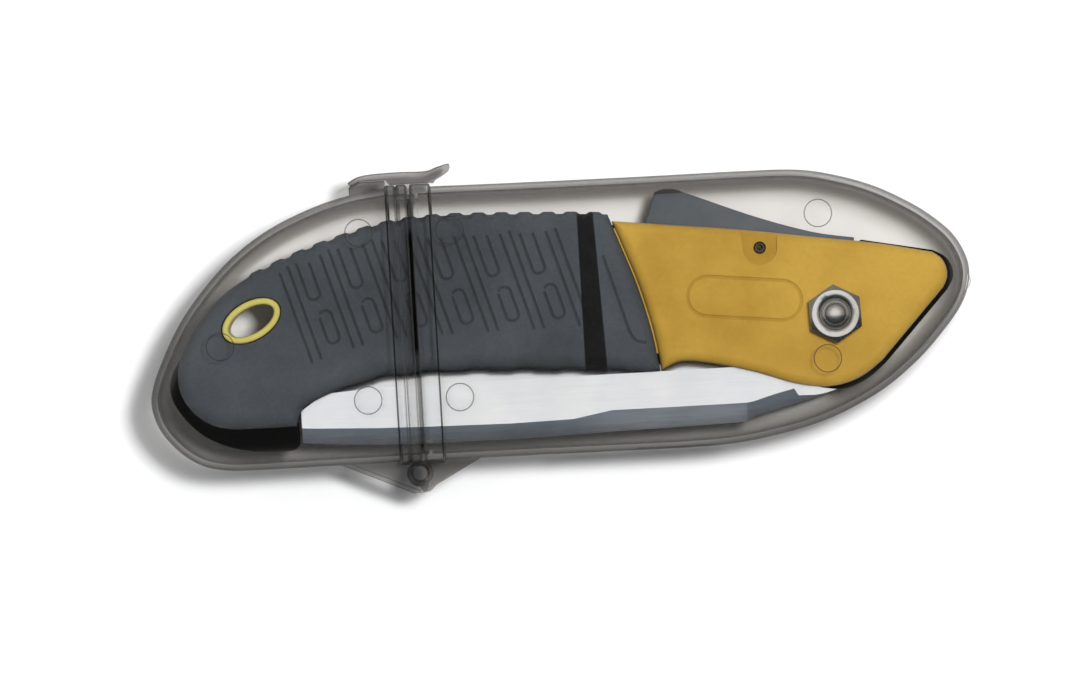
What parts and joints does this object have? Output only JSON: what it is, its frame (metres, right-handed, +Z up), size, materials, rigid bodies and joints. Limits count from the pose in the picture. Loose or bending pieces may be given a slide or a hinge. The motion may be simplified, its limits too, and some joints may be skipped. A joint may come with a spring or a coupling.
{
  "type": "utility knife",
  "caption": "Folding utility knife with hard scales, rubber grips, lock lever and bolted pivot, in a hinged see-through two-part carrying case with a snap latch.",
  "frame": {"origin": "middle of the floor under the closed case, which lies on its back", "axes": "+X along the case from the cap to the body's nose, +Y from the hinge to the latch, +Z up through the case's thickness"},
  "size_m": [0.211, 0.0838, 0.0352],
  "materials": {
    "smoke": "clear grey moulded plastic, polished",
    "yellow": "yellow moulded plastic, satin",
    "rubber": "slate-grey soft grip",
    "black": "black oxide",
    "steel": "polished stainless steel",
    "zinc": "bright zinc plate",
    "brass": "plain",
    "lever": "grey satin coating"
  },
  "bodies": {
    "case_body": {"case_body": "smoke", "hinge_pin": "smoke"},
    "cap": {"case_cap": "smoke"},
    "latch": {"latch_tongue": "smoke"},
    "blade": {"blade": "steel"},
    "lever": {"lock_lever": "lever"},
    "knife": {"near_scale": "yellow", "far_scale": "yellow", "lanyard_eyelet": "yellow", "near_grip": "rubber", "far_grip": "rubber", "near_liner": "black", "far_liner": "black", "rear_spacer": "black", "stop_pin": "steel", "lever_pin": "steel", "lever_spring": "steel", "pivot_bolt": "zinc", "pivot_nut": "zinc", "scale_screw_rear": "zinc", "scale_screw_middle": "zinc", "scale_screw_front": "zinc", "pivot_sleeve": "brass", "near_washer": "brass", "far_washer": "brass"}
  },
  "joints": [
    {"name": "cap_hinge", "type": "hinge", "parent": "case_body", "child": "cap", "pos_m": [-0.03815, -0.03682, 0.0176], "axis": [0, 0, 1], "range_deg": [0, 105]},
    {"name": "latch_flex", "type": "hinge", "parent": "cap", "child": "latch", "pos_m": [-0.05155, 0.03802, 0.0176], "axis": [0, 0, 1], "range_deg": [0, 8], "stiffness_Nm_per_rad": 0.6, "springref_deg": -1.15},
    {"name": "knife_slide", "type": "slide", "parent": "case_body", "child": "knife", "axis": [1, 0, 0], "range_m": [-0.0015, 0.0015]},
    {"name": "blade_pivot", "type": "hinge", "parent": "knife", "child": "blade", "pos_m": [0.0701, -0.00217, 0.0176], "axis": [0, 0, 1], "range_deg": [0, 0.7]},
    {"name": "lever_press", "type": "hinge", "parent": "knife", "child": "lever", "pos_m": [0.0519, 0.01578, 0.0176], "axis": [0, 0, 1], "range_deg": [0, 8], "stiffness_Nm_per_rad": 2.5, "springref_deg": -1.72, "deforming": ["lever_spring"]}
  ]
}
